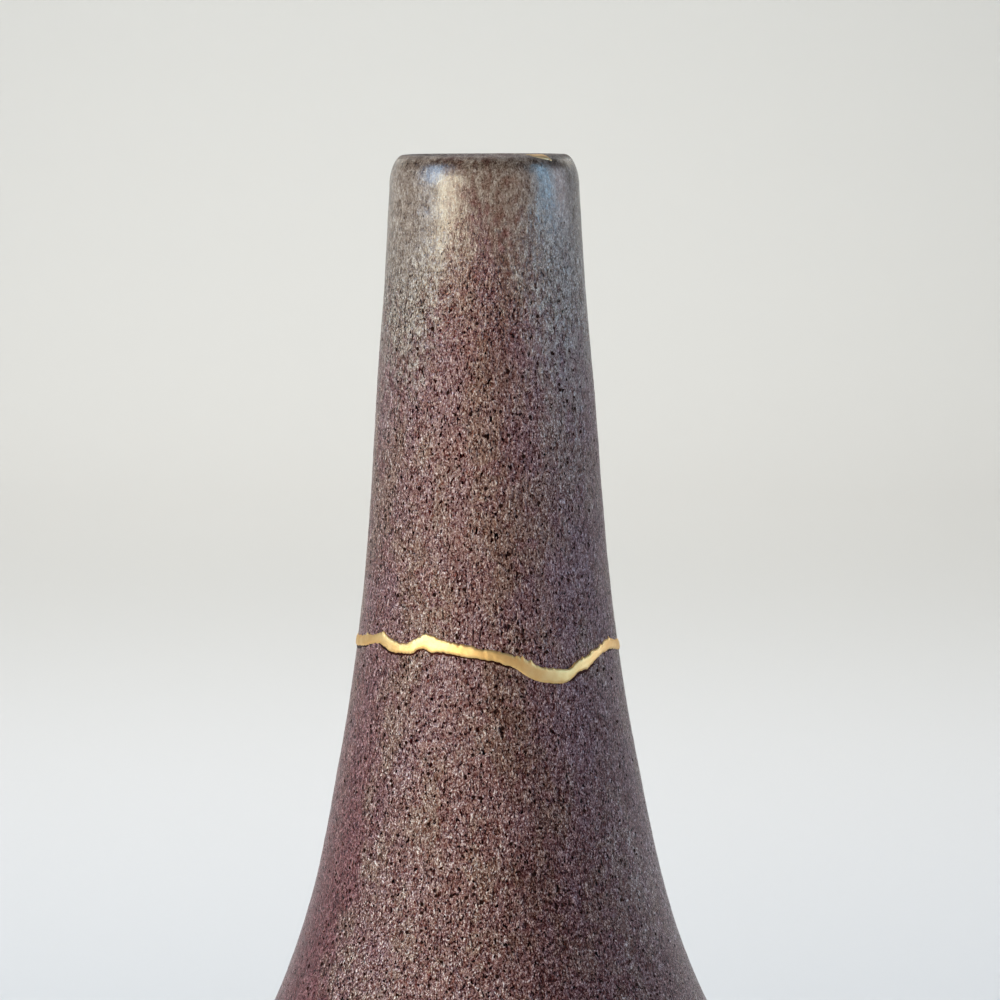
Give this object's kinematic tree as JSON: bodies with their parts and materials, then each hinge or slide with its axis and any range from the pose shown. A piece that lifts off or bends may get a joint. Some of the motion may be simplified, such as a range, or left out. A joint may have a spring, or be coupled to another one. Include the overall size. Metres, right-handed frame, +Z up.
{
  "type": "kintsugi vase",
  "caption": "Tall bottle vase of plum and grey-brown glazed stoneware, broken across the slim neck and mended with a raised, irregular line of gold.",
  "frame": {"origin": "centre of the underside, on the vase's axis, in the plane that the foot ring stands on", "axes": "+Z up along the vase's axis; -Y is the front, the side that the picture shows; +X is to its right"},
  "size_m": [0.1304, 0.1304, 0.2903],
  "materials": {
    "glaze_body": "satin-matt plum and grey-brown stoneware glaze, pitted, bare clay on the foot ring",
    "glaze_neck": "satin-matt plum and grey-brown stoneware glaze, pitted, olive-grey and thin near the lip",
    "gold_seam": "burnished gold powder on lacquer",
    "gold_fill": "burnished gold powder on lacquer"
  },
  "bodies": {
    "root": {"vase_body": "glaze_body", "vase_neck": "glaze_neck", "gold_seam": "gold_seam", "gold_rim_fill": "gold_fill"}
  },
  "joints": []
}
